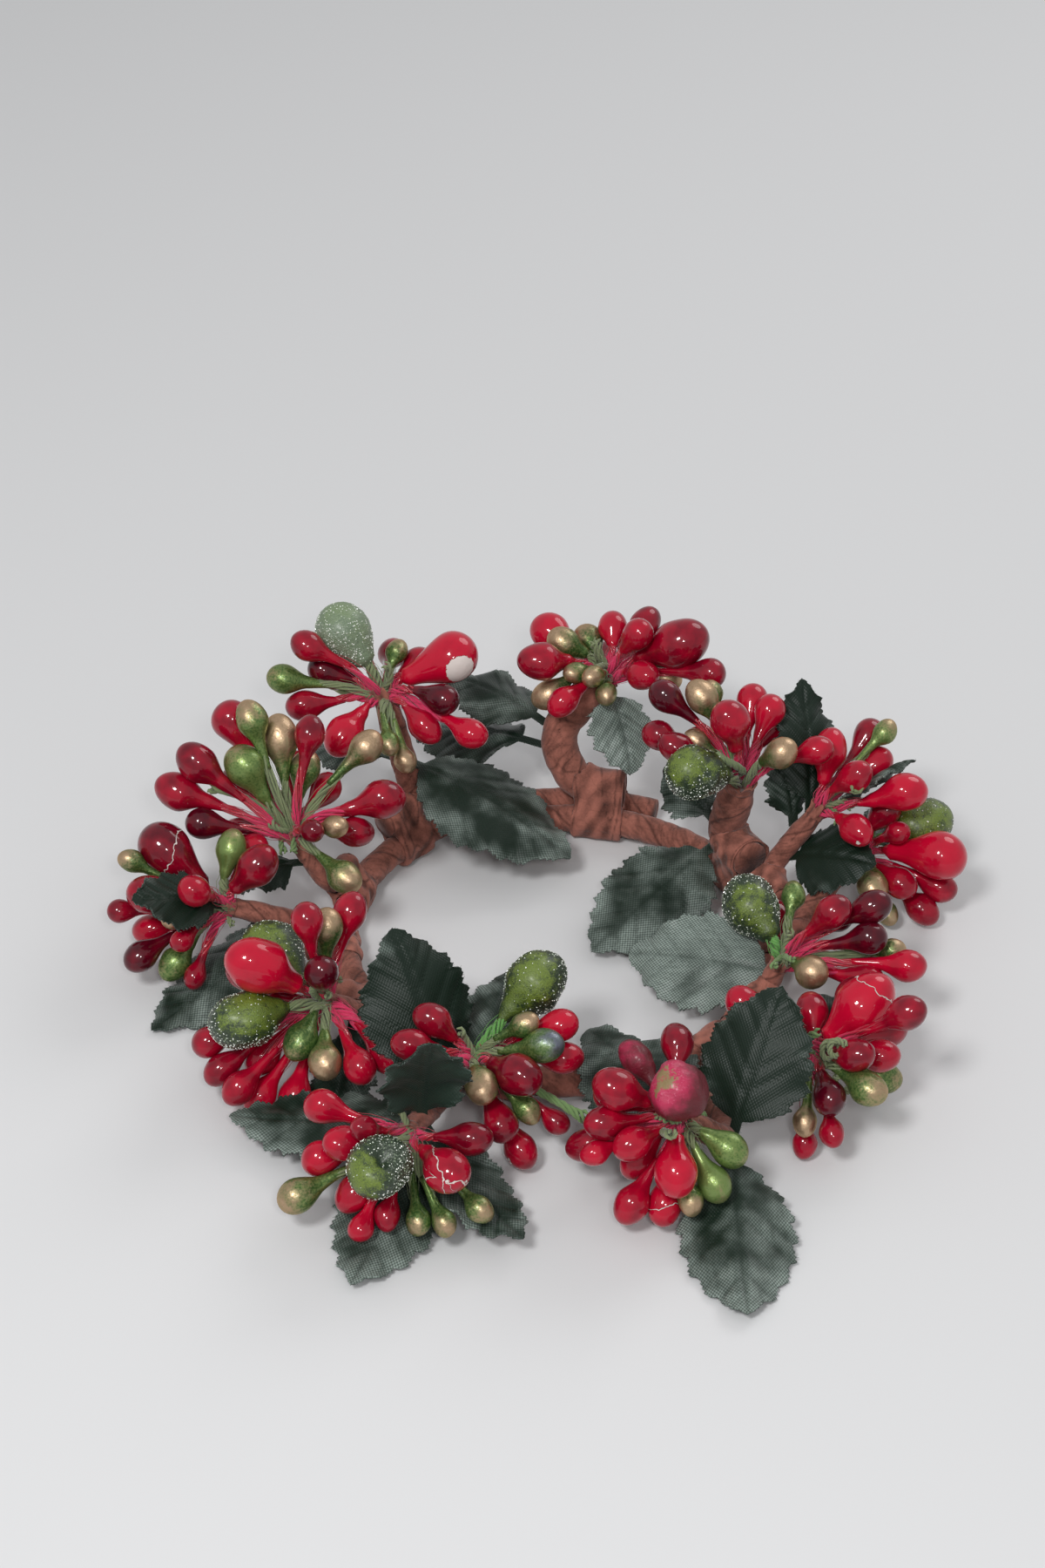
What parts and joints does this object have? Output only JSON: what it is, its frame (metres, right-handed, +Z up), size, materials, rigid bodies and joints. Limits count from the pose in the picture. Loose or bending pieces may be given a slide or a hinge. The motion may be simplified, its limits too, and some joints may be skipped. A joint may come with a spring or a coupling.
{
  "type": "candle ring",
  "caption": "Small decorative ring for a candle: a wrapped wire ring with sprays of lacquered berry pips and fabric leaves.",
  "frame": {"origin": "centre of the candle opening, in the plane of the table that the ring lies on", "axes": "+Z up out of the table, along the candle; +Y away from the viewer of the picture; +X to the right in it"},
  "size_m": [0.1392, 0.1407, 0.0385],
  "materials": {
    "paper_tape": "matt brown crepe paper tape wound in slanting turns",
    "pip_thread": "pink and pale green cotton threads, drawn together and stiffened",
    "steel_wire": "drawn steel wire, cut ends",
    "red_lacquer": "clear deep red lacquer over a red bead, high gloss",
    "green_pearl": "green pearl with brushed gold on the round end",
    "sugared_green": "green bead rolled in clear glitter grains",
    "pink_matte": "matt pink coat, worn to green in places",
    "leaf_fabric": "dark green satin weave, heat cut at the edge, pressed veins"
  },
  "bodies": {
    "root": {"pink_pips": "pink_matte", "ring_core_wire": "steel_wire", "ring_joint_binding": "paper_tape", "ring_paper_wrap": "paper_tape", "spray_01_green_pips": "green_pearl", "spray_01_leaves": "leaf_fabric", "spray_01_red_pips": "red_lacquer", "spray_01_stem": "paper_tape", "spray_02_green_pips": "green_pearl", "spray_02_leaves": "leaf_fabric", "spray_02_red_pips": "red_lacquer", "spray_02_stem": "paper_tape", "spray_03_green_pips": "green_pearl", "spray_03_leaves": "leaf_fabric", "spray_03_red_pips": "red_lacquer", "spray_03_stem": "paper_tape", "spray_04_green_pips": "green_pearl", "spray_04_leaves": "leaf_fabric", "spray_04_red_pips": "red_lacquer", "spray_04_stem": "paper_tape", "spray_05_green_pips": "green_pearl", "spray_05_leaves": "leaf_fabric", "spray_05_red_pips": "red_lacquer", "spray_05_stem": "paper_tape", "spray_06_green_pips": "green_pearl", "spray_06_leaves": "leaf_fabric", "spray_06_red_pips": "red_lacquer", "spray_06_stem": "paper_tape", "spray_07_green_pips": "green_pearl", "spray_07_leaves": "leaf_fabric", "spray_07_red_pips": "red_lacquer", "spray_07_stem": "paper_tape", "spray_08_green_pips": "green_pearl", "spray_08_leaves": "leaf_fabric", "spray_08_red_pips": "red_lacquer", "spray_08_stem": "paper_tape", "spray_09_green_pips": "green_pearl", "spray_09_leaves": "leaf_fabric", "spray_09_red_pips": "red_lacquer", "spray_09_stem": "paper_tape", "spray_10_green_pips": "green_pearl", "spray_10_leaves": "leaf_fabric", "spray_10_red_pips": "red_lacquer", "spray_10_stem": "paper_tape", "spray_11_green_pips": "green_pearl", "spray_11_leaves": "leaf_fabric", "spray_11_red_pips": "red_lacquer", "spray_11_stem": "paper_tape", "spray_12_green_pips": "green_pearl", "spray_12_leaves": "leaf_fabric", "spray_12_red_pips": "red_lacquer", "spray_12_stem": "paper_tape", "spray_13_green_pips": "green_pearl", "spray_13_leaves": "leaf_fabric", "spray_13_red_pips": "red_lacquer", "spray_13_stem": "paper_tape", "spray_bindings": "paper_tape", "stem_wires": "steel_wire", "sugared_pips": "sugared_green", "thread_knots": "pip_thread"}
  },
  "joints": []
}
